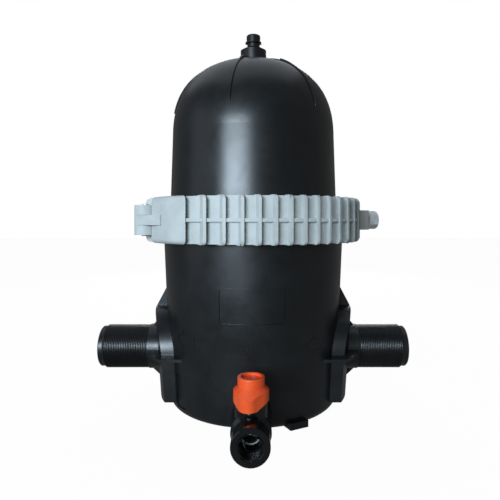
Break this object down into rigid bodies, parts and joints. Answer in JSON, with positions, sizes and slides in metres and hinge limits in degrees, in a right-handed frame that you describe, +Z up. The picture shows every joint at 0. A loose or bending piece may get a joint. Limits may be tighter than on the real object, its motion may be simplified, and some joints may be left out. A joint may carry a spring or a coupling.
{
  "type": "screen filter",
  "caption": "Clamped irrigation screen filter: domed housing with in-line threaded ports, ribbed split clamp with swing bolt, screen element inside and a drain ball valve.",
  "frame": {"origin": "on the filter's axis, at the base it stands on", "axes": "+Z up along the housing's axis, +X out of the inlet port, -Y out of the drain valve"},
  "size_m": [0.426, 0.3578, 0.5127],
  "materials": {
    "black_polymer": "moulded, satin",
    "grey_nylon": "moulded, fine matt",
    "zinc_steel": "zinc plated",
    "stainless_mesh": "woven wire",
    "element_plastic": "moulded",
    "seal_rubber": "matt",
    "gloss_black": "moulded, glossy",
    "white_seat": "turned",
    "orange_plastic": "moulded, satin"
  },
  "bodies": {
    "housing": {"bowl": "black_polymer", "cover": "black_polymer", "housing_o_ring": "seal_rubber", "vent_plug": "black_polymer", "vent_plug_seal": "seal_rubber", "clamp_rear_half": "grey_nylon", "hinge_pin": "zinc_steel", "screen_cage": "element_plastic", "screen_mesh": "stainless_mesh", "screen_collar": "element_plastic", "screen_collar_seal": "seal_rubber", "screen_top_cap": "element_plastic", "valve_body": "gloss_black", "valve_end": "gloss_black", "valve_seat_front": "white_seat", "valve_seat_rear": "white_seat", "stem_seal": "seal_rubber"},
    "clamp_front": {"clamp_front_half": "grey_nylon", "swing_bolt_pin": "zinc_steel"},
    "bolt": {"swing_bolt": "zinc_steel", "clamp_washer": "zinc_steel"},
    "nut": {"clamp_nut": "zinc_steel"},
    "handle": {"valve_handle": "orange_plastic", "valve_stem": "gloss_black", "valve_ball": "element_plastic"}
  },
  "joints": [
    {"name": "clamp_swing", "type": "hinge", "parent": "housing", "child": "clamp_front", "pos_m": [-0.13776, -0.06424, 0.25], "axis": [0, 0, -1], "range_deg": [0, 100]},
    {"name": "bolt_swing", "type": "hinge", "parent": "clamp_front", "child": "bolt", "pos_m": [0.15473, 0.06333, 0.25], "axis": [0, 0, 1], "range_deg": [0, 107]},
    {"name": "nut_turn", "type": "hinge", "parent": "bolt", "child": "nut", "pos_m": [0.183, 0.0673, 0.25], "axis": [0.9903, 0.1392, 0], "continuous": true},
    {"name": "handle_turn", "type": "hinge", "parent": "housing", "child": "handle", "pos_m": [0, -0.165, 0.05], "axis": [0, 0, -1], "range_deg": [-10, 80]}
  ]
}
